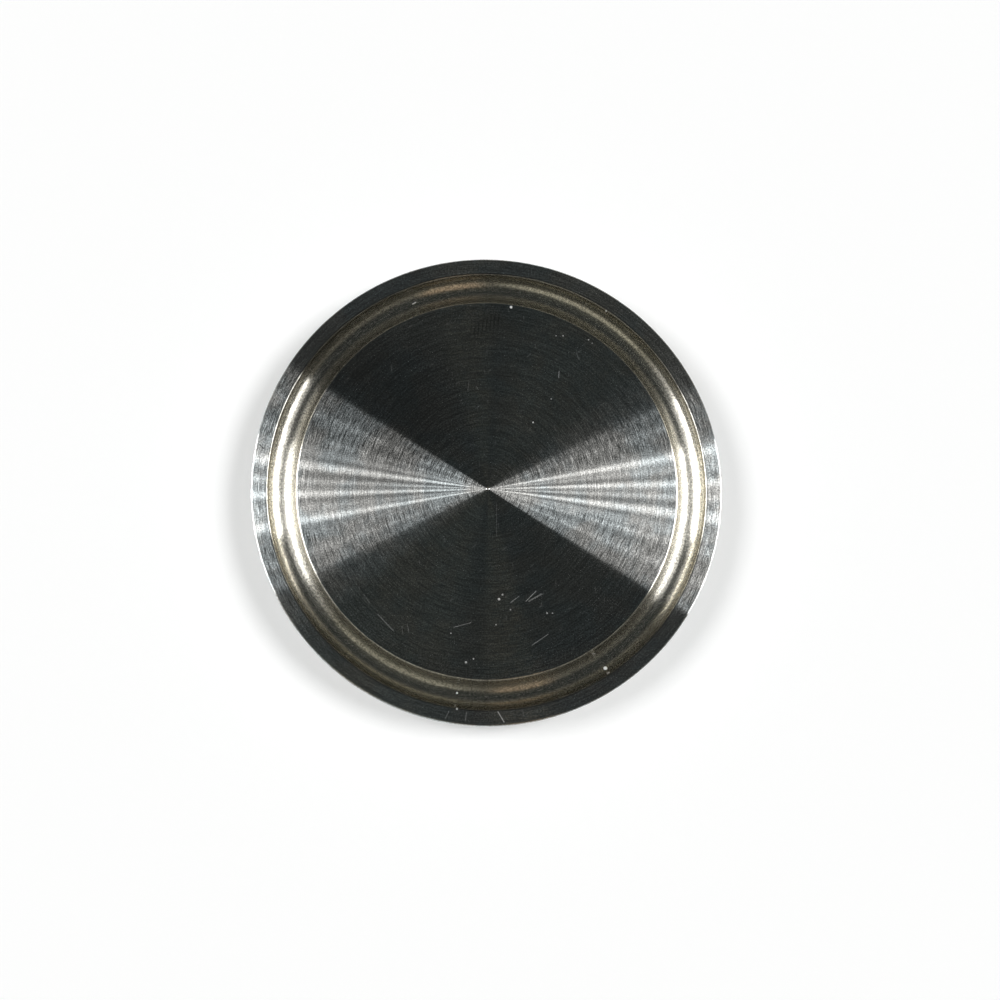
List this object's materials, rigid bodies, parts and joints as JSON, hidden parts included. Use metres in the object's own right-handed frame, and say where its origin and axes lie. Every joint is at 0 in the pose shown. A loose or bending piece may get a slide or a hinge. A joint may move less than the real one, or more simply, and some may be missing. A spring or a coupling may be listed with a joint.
{
  "type": "blank sanitary ferrule",
  "caption": "Solid round end cap for a clamped sanitary joint, with a flat turned face, a round-bottomed gasket groove, a narrow rim and a tapered back.",
  "frame": {"origin": "middle of the flat back face, on the axis of the disc", "axes": "+Z along the axis of the disc, out of the sealing face; X and Y are alike, because the piece is round"},
  "size_m": [0.0506, 0.0506, 0.0063],
  "materials": {
    "turned_steel": "turned stainless steel, with fine concentric tool marks on the face and a smoother groove"
  },
  "bodies": {
    "root": {"blank_ferrule": "turned_steel"}
  },
  "joints": []
}
